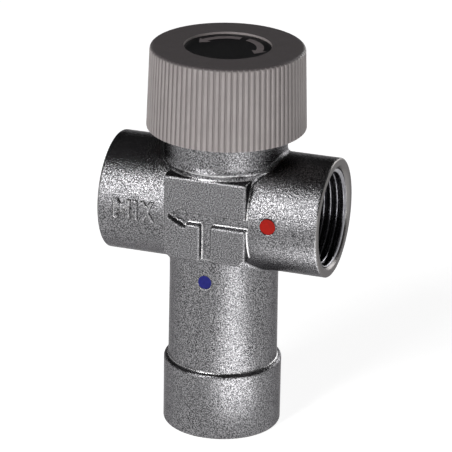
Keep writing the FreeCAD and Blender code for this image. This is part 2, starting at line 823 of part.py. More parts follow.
def make_spool():
    body = new_body("spool")
    turned(body, "spool_form", [
        ("spool_inner", "spool_foot"),
        ("spool_radius", "spool_foot"),
        ("spool_radius", "spool_top"),
        ("spool_inner", "spool_top"),
        ("spool_inner", "ledge_top"),
        ("spool_ledge_radius", "ledge_top"),
        ("spool_ledge_radius", "ledge_foot"),
        ("spool_inner", "ledge_foot"),
    ])
    outline = new_sketch(body, "slot_outline", "XZ_Plane")
    draw_outline(
        outline,
        rectangle("-spool_slot_width / 2", "spool_slot_width / 2", "spool_slot_foot", "spool_slot_top"),
    )
    slot = pocketed(body, "slot", outline, "cage_radius")
    repeated(body, "slots", slot, "windows")
    ring = new_sketch(body, "spider_circle", "XY_Plane", "spider_foot")
    draw_circle(ring, "spider_radius")
    padded(body, "spider_disc", ring, "spider_height")
    spoke = new_sketch(body, "spoke_outline", "XY_Plane", "spider_foot")
    draw_outline(
        spoke,
        rectangle("spider_bore", "spool_radius - spool_wall / 2", "-spider_spoke / 2", "spider_spoke / 2"),
    )
    arm = padded(body, "spoke", spoke, "spider_height")
    repeated(body, "spokes", arm, "windows")
    seat = new_sketch(body, "bulb_hole_circle", "XY_Plane", "spider_foot")
    draw_circle(seat, "spider_bore")
    pocketed(body, "bulb_hole", seat, "spider_height", forwards=True)
    return body


def make_element_body():
    """Wax-filled brass bulb with a flange that rests on the spool's spider."""
    body = new_body("element_body")
    flange_foot = "spool_top + seat_gap"
    turned(body, "element_form", [
        ("0", "bulb_foot"),
        ("bulb_radius", "bulb_foot"),
        ("bulb_radius", flange_foot),
        ("spider_radius", flange_foot),
        ("spider_radius", "bulb_flange_top"),
        ("guide_radius", "bulb_flange_top"),
        ("guide_radius", "guide_end"),
        ("piston_radius + running_clearance", "guide_end"),
        ("piston_radius + running_clearance", "spool_top"),
        ("0", "spool_top"),
    ])
    rounded(body, "bulb_end_round", "bulb_round", on_rim("bulb_radius", "bulb_foot"))
    return body


def make_element_piston():
    body = new_body("element_piston")
    foot = "axis_height + piston_foot_rise"
    turned(body, "piston_form", rectangle("0", "piston_radius", foot, "piston_top"))
    bevelled(body, "piston_bevel", "piston_radius / 4", on_rim("piston_radius", foot))
    return body


# Overload relief: a sprung cup that gives way when the spool can go no further

def make_overload_cup():
    body = new_body("overload_cup")
    turned(body, "cup_form", [
        ("0", "cup_foot + cup_recess"),
        ("piston_radius * 1.4", "cup_foot + cup_recess"),
        ("piston_radius * 1.4", "cup_foot"),
        ("cup_radius", "cup_foot"),
        ("cup_radius", "cup_top"),
        ("cup_boss_radius", "cup_top"),
        ("cup_boss_radius", "cup_top + cup_boss_height"),
        ("0", "cup_top + cup_boss_height"),
    ])
    return body


def make_adjuster():
    """Six-sided nut that the spindle's thread moves up and down in the bonnet."""
    body = new_body("adjuster")
    outline = new_sketch(body, "adjuster_outline", "XY_Plane", "adjuster_foot")
    draw_outline(outline, hexagon("adjuster_flats"))
    padded(body, "adjuster_form", outline, "adjuster_top - adjuster_foot")
    bored(body, "adjuster_bores", [
        ("0", "adjuster_foot"),
        ("adjuster_chamber", "adjuster_foot"),
        ("adjuster_chamber", "relief_ring_foot - seat_gap"),
        ("relief_ring_radius", "relief_ring_foot - seat_gap"),
        ("relief_ring_radius", "relief_ring_top + seat_gap"),
        ("adjuster_chamber", "relief_ring_top + seat_gap"),
        ("adjuster_chamber", "adjuster_web_foot"),
        ("stem_radius + screw_clearance", "adjuster_web_foot"),
        ("stem_radius + screw_clearance", "adjuster_top"),
        ("0", "adjuster_top"),
    ])
    return body


# Spindle

def make_spindle():
    body = new_body("spindle")
    ring_low = "axis_height + shaft_ring_low"
    ring_high = "axis_height + shaft_ring_high"
    turned(body, "spindle_form", [
        ("0", "stem_foot"),
        ("stem_radius", "stem_foot"),
        ("stem_radius", "collar_disc_foot"),
        ("collar_disc_radius", "collar_disc_foot"),
        ("collar_disc_radius", "collar_disc_top"),
        ("shaft_radius", "collar_disc_top"),
        ("shaft_radius", ring_low),
        ("shaft_ring_floor", ring_low),
        ("shaft_ring_floor", f"{ring_low} + shaft_ring_width"),
        ("shaft_radius", f"{ring_low} + shaft_ring_width"),
        ("shaft_radius", ring_high),
        ("shaft_ring_floor", ring_high),
        ("shaft_ring_floor", f"{ring_high} + shaft_ring_width"),
        ("shaft_radius", f"{ring_high} + shaft_ring_width"),
        ("shaft_radius", "clip_foot"),
        ("clip_floor", "clip_foot"),
        ("clip_floor", "clip_top + seat_gap"),
        ("shaft_radius", "clip_top + seat_gap"),
        ("shaft_radius", "drive_foot"),
        ("0", "drive_foot"),
    ])
    drive = new_sketch(body, "drive_outline", "XY_Plane", "drive_foot")
    draw_outline(drive, hexagon("drive_flats"))
    padded(body, "drive", drive, "drive_top - drive_foot")
    hole = rectangle("0", "tap_radius + screw_clearance", "drive_top - tap_depth", "drive_top")
    bored(body, "tapped_hole", hole)
    bevelled(body, "stem_bevel", "stem_radius / 8", on_rim("stem_radius", "stem_foot"))
    return body


# Knob

def make_knob():
    body = new_body("knob")
    turned(body, "knob_form", [
        ("0", "knob_foot"),
        ("knob_foot_radius", "knob_foot"),
        ("knob_top_radius", "knob_top"),
        ("0", "knob_top"),
    ])
    rounded(body, "knob_top_round", "knob_top_edge", on_rim("knob_top_radius", "knob_top"))
    rounded(body, "knob_foot_round", "knob_edge", on_rim("knob_foot_radius", "knob_foot"))
    cut_rib_grooves(body)
    bored(body, "recess", rectangle("0", "recess_radius", "recess_floor", "knob_top"))
    bored(body, "cavity", [
        ("hub_radius", "knob_foot"),
        ("knob_foot_radius - knob_wall", "knob_foot"),
        ("knob_top_radius - knob_wall", "roof_foot"),
        ("hub_radius", "roof_foot"),
    ])
    bored(body, "hub_end", rectangle("0", "hub_radius", "knob_foot", "hub_foot"))
    web = new_sketch(body, "web_outline", "XY_Plane", "roof_foot - web_height")
    draw_outline(web, rectangle("hub_radius - web_width", "cavity_top_radius + web_width / 2",
                                "-web_width / 2", "web_width / 2"))
    rib = padded(body, "web", web, "web_height + web_width / 2")
    repeated(body, "webs", rib, "webs")
    lug = new_sketch(body, "knob_stop_outline", "XY_Plane", "bonnet_head_top + stop_gap")
    draw_outline(lug, rectangle("-stop_width / 2", "stop_width / 2", "-stop_outer", "-stop_inner"))
    padded(body, "knob_stop", lug, "roof_foot - bonnet_head_top")
    socket = new_sketch(body, "socket_outline", "XY_Plane", "hub_foot")
    draw_outline(socket, hexagon("drive_flats + 2 * guide_clearance"))
    pocketed(body, "socket", socket, "socket_top - hub_foot", forwards=True)
    bored(body, "screw_holes", [
        ("0", "socket_top"),
        ("tap_radius + guide_clearance", "socket_top"),
        ("tap_radius + guide_clearance", "screw_seat_top"),
        ("screw_head_radius + guide_clearance", "screw_seat_top"),
        ("screw_head_radius + guide_clearance", "recess_floor"),
        ("0", "recess_floor"),
    ])
    return body


def cut_rib_grooves(body):
    """The grooves between the knob's ribs, which follow its taper from foot to top. Their sides open out
    near the surface, where they round off the shoulders of the ribs."""
    outline = new_sketch(body, "rib_groove_outline", "XY_Plane", "knob_foot")
    floor = "knob_foot_radius - rib_groove_depth"
    shoulder = "knob_foot_radius - rib_shoulder"
    draw_outline(outline, [
        (floor, "-rib_groove_width / 4"),
        (shoulder, "-rib_groove_width / 2"),
        ("knob_foot_radius + rib_shoulder / 4", "-rib_groove_width"),
        ("knob_foot_radius + rib_shoulder / 4", "rib_groove_width"),
        (shoulder, "rib_groove_width / 2"),
        (floor, "rib_groove_width / 4"),
    ])
    groove = body.newObject("PartDesign::Pocket", "rib_groove")
    groove.Profile = outline
    groove.UseCustomVector = True
    bind(groove, "Length", "knob_height * 1.01")
    bind(groove, "Direction.x", "knob_top_radius - knob_foot_radius")
    bind(groove, "Direction.y", "0")
    bind(groove, "Direction.z", "knob_height")
    finish_step(body, groove)
    repeated(body, "rib_grooves", groove, "rib_count")


def make_knob_screw():
    body = new_body("knob_screw")
    head_foot = "screw_seat_top + seat_gap"
    head_top = f"{head_foot} + screw_head_height"
    turned(body, "screw_form", [
        ("0", "drive_top - tap_depth + screw_seat"),
        ("tap_radius", "drive_top - tap_depth + screw_seat"),
        ("tap_radius", head_foot),
        ("screw_head_radius", head_foot),
        ("screw_head_radius", head_top),
        ("0", head_top),
    ])
    for name, turn in (("slot", 0), ("cross_slot", 1)):
        slot = new_sketch(body, name + "_outline", "XY_Plane", head_top)
        long_way = "screw_head_radius * 0.7"
        short_way = "screw_slot_width / 2"
        x, y = (short_way, long_way) if turn else (long_way, short_way)
        draw_outline(slot, rectangle("-" + x, x, "-" + y, y))
        pocketed(body, name, slot, "screw_slot_depth")
    return body


def make_dial_disc():
    body = new_body("dial_disc")
    outer = "recess_radius - dial_clearance"
    turned(body, "dial_form", rectangle("0", outer, "dial_foot", "dial_foot + dial_height"))
    rounded(body, "dial_round", "dial_clearance", on_rim(outer, "dial_foot + dial_height"))
    return body


def make_mark(label, radius, side, height, floor, depth):
    """A dot of enamel that fills its drilled seat."""
    body = new_body(label)
    circle = new_sketch(body, label + "_circle", "XZ_Plane", f"{floor} + seal_gap")
    draw_circle(circle, radius, side, height)
    padded(body, label + "_disc", circle, f"{depth} - mark_sink - seal_gap")
    return body


HOT_MARK_HEIGHT = "axis_height + hot_mark_rise"
COLD_MARK_HEIGHT = "axis_height - cold_mark_drop"


# All sub-parts

def make_parts():
    parts = [
        make_valve_body(),
        make_bonnet(),
        make_cage(),
        make_cage_plug(),
        make_spool(),
        make_element_body(),
        make_element_piston(),
        make_overload_cup(),
        make_adjuster(),
        make_spindle(),
        make_knob(),
        make_knob_screw(),
        make_dial_disc(),
        make_mark("hot_mark", "hot_mark_radius", "hot_mark_side", HOT_MARK_HEIGHT,
                  "hot_mark_floor", "hot_mark_depth"),
        make_mark("cold_mark", "cold_mark_radius", "cold_mark_side", COLD_MARK_HEIGHT,
                  "cold_mark_floor", "cold_mark_depth"),
    ]
    ring_middle = "bonnet_ring_foot + bonnet_ring_width / 2"
    low_middle = "axis_height + shaft_ring_low + shaft_ring_width / 2"
    high_middle = "axis_height + shaft_ring_high + shaft_ring_width / 2"
    parts += [
        o_ring("bonnet_o_ring", "bonnet_ring_floor", "bonnet_seal_radius", ring_middle),
        o_ring("cage_upper_o_ring", "upper_land - cage_ring_depth", "body_upper_land", "axis_height"),
        o_ring("cage_lower_o_ring", "lower_land - cage_ring_depth", "body_lower_land", "lower_ring"),
        o_ring("spindle_lower_o_ring", "shaft_ring_floor", "gland_radius", low_middle),
        o_ring("spindle_upper_o_ring", "shaft_ring_floor", "gland_radius", high_middle),
    ]
    parts += [
        washer("thrust_washer", "gland_radius", "gland_radius + washer_wall", "washer_foot", "washer_top"),
        washer("spindle_circlip", "clip_floor + seat_gap", "clip_floor + clip_width",
               "clip_foot + seat_gap", "clip_top", angle="360 - clip_opening"),
        washer("overload_circlip", "relief_ring_radius - relief_ring_width",
               "relief_ring_radius - seat_gap", "relief_ring_foot", "relief_ring_top",
               angle="360 - clip_opening"),
    ]
    parts += [
        coil_spring("return_spring", "spool_inner - return_wire - guide_clearance", "return_wire",
                    "plug_top + seat_gap", "ledge_foot - seat_gap", "return_coils"),
        coil_spring("overload_spring", "(cup_radius + cup_boss_radius) / 2", "relief_wire",
                    "cup_top + seat_gap", "adjuster_web_foot - seat_gap", "relief_coils"),
    ]
    return parts


def export(parts):
    """Check every object, then write each sub-part to its own file."""
    doc.recompute()
    for thing in doc.Objects:
        if {"Invalid", "Error"} & set(thing.State):
            raise RuntimeError(f"{thing.Name} failed")
    for part in parts:
        if part.Shape.isNull() or not part.Shape.isValid() or len(part.Shape.Solids) != 1:
            raise RuntimeError(f"{part.Label} is not one valid solid")
    os.makedirs("parts", exist_ok=True)
    for part in parts:
        part.Shape.exportStep(f"parts/{part.Label}.step")


export(make_parts())
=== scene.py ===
import json
import math

import bmesh
import bpy
from mathutils import Matrix, Vector


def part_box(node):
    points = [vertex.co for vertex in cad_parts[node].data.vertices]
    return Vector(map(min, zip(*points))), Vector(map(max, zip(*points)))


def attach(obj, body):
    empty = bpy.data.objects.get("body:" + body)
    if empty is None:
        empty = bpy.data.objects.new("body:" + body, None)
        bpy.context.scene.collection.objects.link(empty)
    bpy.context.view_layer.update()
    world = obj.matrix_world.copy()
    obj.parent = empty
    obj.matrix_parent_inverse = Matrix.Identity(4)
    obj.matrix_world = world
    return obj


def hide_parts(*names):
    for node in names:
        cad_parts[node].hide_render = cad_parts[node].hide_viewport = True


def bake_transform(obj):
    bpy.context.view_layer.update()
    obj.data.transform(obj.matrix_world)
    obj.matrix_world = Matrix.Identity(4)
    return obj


# Mixing valve: a plated brass body with three threaded ports, a grey ribbed knob with a dark dial on
# top, and red and blue marks at the hot and cold inlets. Lengths named _MM are in millimetres.

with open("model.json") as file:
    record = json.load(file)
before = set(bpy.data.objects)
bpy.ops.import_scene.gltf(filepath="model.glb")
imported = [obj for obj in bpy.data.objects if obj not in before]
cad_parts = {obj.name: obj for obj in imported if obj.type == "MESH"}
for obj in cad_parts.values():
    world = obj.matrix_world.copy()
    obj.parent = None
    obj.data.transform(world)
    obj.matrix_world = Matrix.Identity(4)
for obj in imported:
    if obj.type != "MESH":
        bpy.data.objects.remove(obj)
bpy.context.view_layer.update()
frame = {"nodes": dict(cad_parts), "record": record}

MM = 0.001
AXIS_MM = 62.5
PORT_RADIUS_MM = 16.0
PORT_REACH_MM = 30.5
THREAD_ROOT_MM = 13.22
THREAD_CREST_MM = 12.06
THREAD_PITCH_MM = 1.814
THREAD_DEPTH_MM = 14.0
THREAD_RUN_OUT_MM = 0.3
MOUTH_CHAMFER_MM = 0.8
BARREL_TOP_MM = 89.5
RECESS_RADIUS_MM = 11.6
KNOB_FOOT_RADIUS_MM = 21.25
KNOB_TOP_RADIUS_MM = 20.5
KNOB_FOOT_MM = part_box("knob")[0][2] / MM
KNOB_TOP_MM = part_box("knob")[1][2] / MM
DIAL_TOP_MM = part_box("dial_disc")[1][2] / MM
NEAR_FACE_MM = 0.2

LAMPS_AIM_MM = (0, 0, 60)
CAMERA_EYE_MM = (230.14, -675.67, 338.96)
CAMERA_BACK = (0.29930, -0.88001, 0.36878)
CAMERA_ROLL_DEGREES = 1.008
CAMERA_LENS_MM = 228.35
FILM_WIDTH_MM = 36.0


def linear(hex_colour):
    """Turn a colour written as an sRGB hex value into linear red, green, blue and alpha."""
    parts = [int(hex_colour[i:i + 2], 16) / 255 for i in (1, 3, 5)]
    return [p / 12.92 if p <= 0.04045 else ((p + 0.055) / 1.055) ** 2.4 for p in parts] + [1.0]


def add(tree, kind, inputs=(), out=0, **settings):
    """Add one node with its settings and links, and return one of its outputs. Inputs are given in
    their order or by name, each a plain value, a colour in hex, or another node's output."""
    made = tree.nodes.new(kind)
    for name, setting in settings.items():
        setattr(made, name, setting)
    for key, given in (inputs if isinstance(inputs, dict) else dict(enumerate(inputs))).items():
        if isinstance(given, bpy.types.NodeSocket):
            tree.links.new(given, made.inputs[key])
        else:
            made.inputs[key].default_value = linear(given) if isinstance(given, str) else given
    return made.outputs[out] if len(made.outputs) else made


MATH, VECTOR, RANGE, MIX = "ShaderNodeMath", "ShaderNodeVectorMath", "ShaderNodeMapRange", "ShaderNodeMix"
NOISE, BUMP = "ShaderNodeTexNoise", "ShaderNodeBump"


def new_material(name):
    """A material with an empty tree, and the object's own coordinates to draw on."""
    material = bpy.data.materials.new(name)
    material.use_nodes = True
    tree = material.node_tree
    tree.nodes.clear()
    return material, tree, add(tree, "ShaderNodeTexCoord", out="Object")


def close_material(tree, shader_inputs):
    """End a material in one shader and its output."""
    add(tree, "ShaderNodeOutputMaterial", {"Surface": add(tree, "ShaderNodeBsdfPrincipled", shader_inputs)})


# Materials. Each is named for what the real piece is made of and how its surface was finished.

def machined_mask(tree, place):
    """1 on the faces cut after casting: the ends of the ports and the cold inlet, and every bore. Then 1
    inside the side ports past their chamfers, where the bores get painted shade, and the distance from
    their axis, which their turning rings follow."""
    up = add(tree, VECTOR, (place, (0, 0, AXIS_MM * MM)), operation="SUBTRACT")
    across = add(tree, VECTOR, (up, (0, 1, 1)), operation="MULTIPLY")
    from_port_axis = add(tree, VECTOR, (across,), out="Value", operation="LENGTH")
    level = add(tree, VECTOR, (place, (1, 1, 0)), operation="MULTIPLY")
    from_column_axis = add(tree, VECTOR, (level,), out="Value", operation="LENGTH")
    x = add(tree, "ShaderNodeSeparateXYZ", (place,), out="X")
    z = add(tree, "ShaderNodeSeparateXYZ", (place,), out="Z")
    side = add(tree, MATH, (x,), operation="ABSOLUTE")
    bore = (THREAD_ROOT_MM + 1.0) * MM
    bore_floor = (PORT_REACH_MM - THREAD_DEPTH_MM - 0.5) * MM
    in_port = add(tree, MATH, (from_port_axis, bore), operation="LESS_THAN")
    past_floor = add(tree, MATH, (side, bore_floor), operation="GREATER_THAN")
    past_chamfer = add(tree, MATH, (side, (PORT_REACH_MM - MOUTH_CHAMFER_MM) * MM), operation="LESS_THAN")
    bore_shade = add(tree, MATH, (in_port, past_chamfer), operation="MULTIPLY")
    zones = [
        add(tree, MATH, (side, (PORT_REACH_MM - NEAR_FACE_MM) * MM), operation="GREATER_THAN"),
        add(tree, MATH, (z, 0.25 * MM), operation="LESS_THAN"),
        add(tree, MATH, (z, (BARREL_TOP_MM - NEAR_FACE_MM) * MM), operation="GREATER_THAN"),
        add(tree, MATH, (in_port, past_floor), operation="MULTIPLY"),
        add(tree, MATH, (from_column_axis, bore), operation="LESS_THAN"),
    ]
    mask = zones[0]
    for zone in zones[1:]:
        mask = add(tree, MATH, (mask, zone), operation="MAXIMUM")
    return mask, bore_shade, from_port_axis


def plated_casting():
    """Nickel plate over shot-blasted brass. Blasting leaves 0.2 to 0.4 mm dimples that plating keeps, so
    the eye sees crisp bright and dark specks. Edges are worn round, and drawn lighter, partly as rubbed wear
    and partly as a painted highlight. The cut end faces keep fine turning rings, drawn 0.5 mm apart,
    because real ones are too fine to show."""
    material, tree, place = new_material("nickel_plate_on_shot_blasted_brass")
    machined, bore_shade, from_port_axis = machined_mask(tree, place)
    grain = add(tree, NOISE, {"Vector": place, "Scale": 1 / (0.3 * MM), "Detail": 2.0, "Roughness": 0.7})
    dimples = add(tree, "ShaderNodeTexVoronoi", {"Vector": place, "Scale": 1 / (0.42 * MM)},
                  feature="SMOOTH_F1")
    flow = add(tree, NOISE, {"Vector": place, "Scale": 1 / (9 * MM), "Detail": 3.0})
    turned = add(tree, MATH, (from_port_axis, 2 * math.pi / (0.5 * MM)), operation="MULTIPLY")
    rings = add(tree, MATH, (add(tree, MATH, (turned,), operation="SINE"), 0.02), operation="MULTIPLY")
    blasted = add(tree, MATH, (grain, dimples), operation="ADD")
    height = add(tree, MIX, {0: machined, 2: blasted, 3: rings}, data_type="FLOAT")
    worn_edge = add(tree, "ShaderNodeBevel", {"Radius": 0.9 * MM}, samples=8)
    bump = add(tree, BUMP, {"Strength": 1.0, "Distance": 0.07 * MM, "Height": height, "Normal": worn_edge})
    shade = add(tree, RANGE, (grain, 0.4, 0.62), interpolation_type="SMOOTHSTEP")
    specks = add(tree, MIX, {0: shade, 6: "#303032", 7: "#9a999b"}, out=2, data_type="RGBA")
    drift = add(tree, RANGE, (flow, 0.3, 0.7, 0.0, 0.3), interpolation_type="SMOOTHSTEP")
    soiled = add(tree, MIX, {0: drift, 6: specks, 7: "#707072"}, out=2, data_type="RGBA")
    # edges, hollow and standing alike, are drawn lighter: partly rubbed wear, partly a painted highlight
    # where light catches them
    face = add(tree, "ShaderNodeNewGeometry", out="Normal")
    aligned = add(tree, VECTOR, (worn_edge, face), out="Value", operation="DOT_PRODUCT")
    edge_wear_and_highlight = add(tree, RANGE, (aligned, 0.99, 0.85, 0.0, 1.0))
    for mark in ("hot_mark", "cold_mark"):
        # the seats of the marks are cut after blasting, so no rubbed wear and no painted edge highlight is
        # drawn at their rims, which stay sharp and dark
        middle = (Vector(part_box(mark)[0]) + Vector(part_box(mark)[1])) / 2
        away = add(tree, VECTOR, (place, tuple(middle)), out="Value", operation="DISTANCE")
        past_seat = add(tree, RANGE, (away, 2.6 * MM, 3.6 * MM))
        edge_wear_and_highlight = add(tree, MATH, (edge_wear_and_highlight, past_seat), operation="MULTIPLY")
    tone = add(tree, MIX, {0: edge_wear_and_highlight, 6: soiled, 7: "#d0cfd0"}, out=2, data_type="RGBA")
    rough = add(tree, RANGE, (flow, 0.3, 0.7, 0.2, 0.26), interpolation_type="SMOOTHSTEP")
    # painted shade: the bores see little but their own dark walls, so their plate is drawn in a deeper tone
    cut = add(tree, MIX, {0: bore_shade, 6: "#7c7a79", 7: "#49484b"}, out=2, data_type="RGBA")
    close_material(tree, {
        "Base Color": add(tree, MIX, {0: machined, 6: tone, 7: cut}, out=2, data_type="RGBA"),
        "Metallic": 1.0,
        "Roughness": add(tree, MIX, {0: machined, 2: rough, 3: 0.27}, data_type="FLOAT"),
        "Specular Tint": "#b3b2b3",
        "Normal": bump,
    })
    return material


def cut_thread():
    """Plated brass thread, turned and then plated: smooth flanks that mirror the dark bore."""
    material, tree, place = new_material("nickel_plate_on_cut_thread")
    chatter = add(tree, NOISE, {"Vector": place, "Scale": 1 / (1.2 * MM), "Detail": 2.0})
    shade = add(tree, RANGE, (chatter, 0.3, 0.7), interpolation_type="SMOOTHSTEP")
    close_material(tree, {
        "Base Color": add(tree, MIX, {0: shade, 6: "#76757a", 7: "#8d8c90"}, out=2, data_type="RGBA"),
        "Metallic": 1.0,
        "Roughness": add(tree, RANGE, (chatter, 0.3, 0.7, 0.2, 0.28)),
        "Normal": add(tree, BUMP, {"Strength": 0.5, "Distance": 0.02 * MM, "Height": chatter}),
    })
    return material


def turned_metal(name, light, dark, roughness, pitch_mm):
    """Metal turned or drawn about the valve's axis: rings round it, and a little tarnish between them. The
    pitch is coarser than a real finishing cut's, which would be too fine to show."""
    material, tree, place = new_material(name)
    z = add(tree, "ShaderNodeSeparateXYZ", (place,), out="Z")
    tarnish = add(tree, NOISE, {"Vector": place, "Scale": 1 / (2.5 * MM), "Detail": 4.0})
    shade = add(tree, RANGE, (tarnish, 0.35, 0.7), interpolation_type="SMOOTHSTEP")
    wobble = add(tree, MATH, (tarnish, 0.4 * MM, z), operation="MULTIPLY_ADD")
    phase = add(tree, MATH, (wobble, 2 * math.pi / (pitch_mm * MM)), operation="MULTIPLY")
    rings = add(tree, MATH, (phase,), operation="SINE")
    close_material(tree, {
        "Base Color": add(tree, MIX, {0: shade, 6: light, 7: dark}, out=2, data_type="RGBA"),
        "Metallic": 1.0,
        "Roughness": add(tree, RANGE, (tarnish, 0.3, 0.7, roughness, roughness + 0.1)),
        "Normal": add(tree, BUMP, {"Strength": 0.4, "Distance": 0.01 * MM, "Height": rings}),
    })
    return material


def ribbed_abs():
    """Grey ABS with a fine spark-eroded grain. Its grooves carry painted shade, which shows them dark. The
    flat top round the dial is the same moulding, and its darker tone there is painted shade. Both are drawn
    by their place."""
    material, tree, place = new_material("grey_abs_moulding")
    z = add(tree, "ShaderNodeSeparateXYZ", (place,), out="Z")
    level = add(tree, VECTOR, (place, (1, 1, 0)), operation="MULTIPLY")
    from_axis = add(tree, VECTOR, (level,), out="Value", operation="LENGTH")
    past_dial = add(tree, MATH, (from_axis, (RECESS_RADIUS_MM + 0.03) * MM), operation="GREATER_THAN")
    # painted shade: the top face round the dial and its rounded edge are drawn darker, as they look with
    # little light from above
    toward_top = add(tree, RANGE, (z, (KNOB_TOP_MM - 0.8) * MM, (KNOB_TOP_MM - 0.15) * MM),
                     interpolation_type="SMOOTHSTEP")
    # how far a point lies inside the tapered side: the grooves are 0.42 mm deep, the wall 2.1 mm thick
    taper = (KNOB_FOOT_RADIUS_MM - KNOB_TOP_RADIUS_MM) / (KNOB_TOP_MM - KNOB_FOOT_MM)
    side_radius = add(tree, MATH, (z, -taper, (KNOB_FOOT_RADIUS_MM + taper * KNOB_FOOT_MM) * MM),
                      operation="MULTIPLY_ADD")
    sunk = add(tree, MATH, (side_radius, from_axis), operation="SUBTRACT")
    # painted shade: points deep in a groove are drawn darker, for the shade that falls in the grooves
    in_groove = add(tree, RANGE, (sunk, 0.06 * MM, 0.3 * MM), interpolation_type="SMOOTHSTEP")
    near_side = add(tree, MATH, (sunk, 0.9 * MM), operation="LESS_THAN")
    groove_shade = add(tree, MATH, (in_groove, near_side), operation="MULTIPLY")
    # the real grain is under 0.1 mm and too fine to show, so it is drawn at 0.25 mm
    grain = add(tree, NOISE, {"Vector": place, "Scale": 1 / (0.25 * MM), "Detail": 2.0})
    mottle = add(tree, NOISE, {"Vector": place, "Scale": 1 / (5 * MM), "Detail": 3.0})
    drift = add(tree, RANGE, (mottle, 0.3, 0.7), interpolation_type="SMOOTHSTEP")
    speck = add(tree, RANGE, (grain, 0.3, 0.7), interpolation_type="SMOOTHSTEP")
    rib = add(tree, MIX, {0: drift, 6: "#968f8e", 7: "#9f9897"}, out=2, data_type="RGBA")
    side = add(tree, MIX, {0: groove_shade, 6: rib, 7: "#847e7d"}, out=2, data_type="RGBA")
    top = add(tree, MIX, {0: speck, 6: "#555051", 7: "#605a5b"}, out=2, data_type="RGBA")
    top_shade_mask = add(tree, MATH, (toward_top, past_dial), operation="MULTIPLY")
    close_material(tree, {
        "Base Color": add(tree, MIX, {0: top_shade_mask, 6: side, 7: top}, out=2, data_type="RGBA"),
        "Roughness": add(tree, RANGE, (mottle, 0.3, 0.7, 0.44, 0.54)),
        "IOR": 1.53,
        "Normal": add(tree, BUMP, {"Strength": 0.5, "Distance": 0.02 * MM, "Height": grain}),
    })
    return material


def moulded_plastic(name, light, dark, roughness, ior, grain_mm, scatter=0.0, gloss=0.5):
    """Injection-moulded plastic with a soft grain and faint flow marks. The real grain is finer, and is
    drawn at the size given so that it shows."""
    material, tree, place = new_material(name)
    grain = add(tree, NOISE, {"Vector": place, "Scale": 1 / (grain_mm * MM), "Detail": 2.0})
    flow = add(tree, NOISE, {"Vector": place, "Scale": 1 / (4 * MM), "Detail": 3.0, "Distortion": 1.5})
    drift = add(tree, RANGE, (flow, 0.3, 0.7), interpolation_type="SMOOTHSTEP")
    close_material(tree, {
        "Base Color": add(tree, MIX, {0: drift, 6: light, 7: dark}, out=2, data_type="RGBA"),
        "Roughness": add(tree, RANGE, (grain, 0.3, 0.7, roughness, roughness + 0.1)),
        "IOR": ior,
        "Specular IOR Level": gloss,
        "Subsurface Weight": scatter,
        "Subsurface Scale": 1.0 * MM,
        "Normal": add(tree, BUMP, {"Strength": 0.4, "Distance": 0.01 * MM, "Height": grain}),
    })
    return material


def stove_enamel(name, light, dark):
    """A drop of glossy enamel that has levelled in its seat, with a slight orange peel."""
    material, tree, place = new_material(name)
    peel = add(tree, NOISE, {"Vector": place, "Scale": 1 / (0.9 * MM), "Detail": 2.0, "Roughness": 0.4})
    shade = add(tree, RANGE, (peel, 0.3, 0.7), interpolation_type="SMOOTHSTEP")
    close_material(tree, {
        "Base Color": add(tree, MIX, {0: shade, 6: light, 7: dark}, out=2, data_type="RGBA"),
        "Roughness": add(tree, RANGE, (peel, 0.3, 0.7, 0.3, 0.4)),
        "IOR": 1.5,
        "Specular IOR Level": 0.2,
        "Normal": add(tree, BUMP, {"Strength": 0.6, "Distance": 0.03 * MM, "Height": peel}),
    })
    return material


MATERIALS = {
    "plated_brass": plated_casting(),
    "brass": turned_metal("turned_brass", "#b59a5f", "#8f7743", 0.26, 0.35),
    "steel": turned_metal("drawn_stainless_steel", "#a9a9a8", "#84858a", 0.22, 0.3),
    "cage_plastic": moulded_plastic(
        "glass_filled_polymer_of_the_cage", "#3d3d40", "#2c2c2f", 0.5, 1.55, 0.2),
    "spool_plastic": moulded_plastic("acetal_of_the_spool", "#d8d5cb", "#cac6ba", 0.35, 1.48, 0.3, 0.1),
    "washer_plastic": moulded_plastic("ptfe_washer", "#e4e3df", "#d4d3cf", 0.45, 1.36, 0.3, 0.15),
    "knob_plastic": ribbed_abs(),
    "dial_plastic": moulded_plastic(
        "black_dial_polycarbonate", "#060609", "#0b0b0f", 0.3, 1.58, 0.4, gloss=0.1),
    "rubber": moulded_plastic("black_epdm_rubber", "#1b1b1c", "#252526", 0.62, 1.52, 0.25),
    "red_enamel": stove_enamel("red_enamel_dot", "#9d1002", "#8d0c02"),
    "blue_enamel": stove_enamel("blue_enamel_dot", "#161962", "#1c1f6e"),
}
THREAD_METAL = cut_thread()
DIAL_PRINT = moulded_plastic("grey_pad_print_on_dial", "#7f7778", "#756d6e", 0.5, 1.5, 0.3)

for part in frame["record"]["subparts"]:
    for material_slot in frame["nodes"][part["node"]].material_slots:
        material_slot.material = MATERIALS[part["material_slot"]]


# How pieces are made

def mesh_piece(name, mesh, material):
    piece = bpy.data.objects.new(name, mesh)
    bpy.context.scene.collection.objects.link(piece)
    mesh.materials.clear()
    mesh.materials.append(material)
    return piece


def as_mesh(maker, name, material):
    """Keep what an object's curves or modifiers make as a plain mesh, and drop the maker."""
    graph = bpy.context.evaluated_depsgraph_get()
    shape = bpy.data.meshes.new_from_object(maker.evaluated_get(graph))
    bpy.data.objects.remove(maker)
    return mesh_piece(name, shape, material)


def grow(name, tree, inputs, material):
    """Run a geometry tree with its inputs set, and keep what it makes as a plain mesh."""
    seed = mesh_piece(name + "_seed", bpy.data.meshes.new(name), material)
    modifier = seed.modifiers.new("made", "NODES")
    modifier.node_group = tree
    for socket in tree.interface.items_tree:
        if socket.in_out == "INPUT" and socket.name in inputs:
            modifier[socket.identifier] = inputs[socket.name]
    return as_mesh(seed, name, material)


